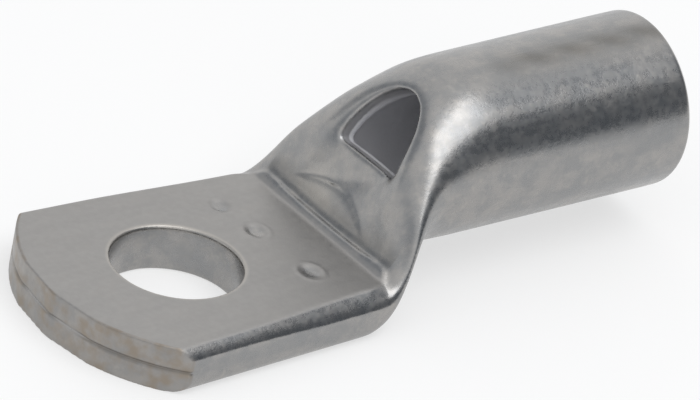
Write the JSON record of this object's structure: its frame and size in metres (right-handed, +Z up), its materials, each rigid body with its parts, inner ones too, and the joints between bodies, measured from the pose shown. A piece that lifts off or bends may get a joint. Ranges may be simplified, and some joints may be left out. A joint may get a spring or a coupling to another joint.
{
  "type": "cable lug",
  "caption": "Tin-plated copper tubular crimp cable lug with a round barrel, a pressed neck with a sight hole and a flat palm with one bolt hole.",
  "frame": {"origin": "centre of the bolt hole at the palm's underside", "axes": "+X from the bolt hole towards the barrel mouth, +Z up through the palm towards the barrel's side, +Y to the left when looking along +X"},
  "size_m": [0.0562, 0.023, 0.0161],
  "materials": {
    "tin_plate": "satin"
  },
  "bodies": {
    "root": {"cable_lug": "tin_plate"}
  },
  "joints": []
}
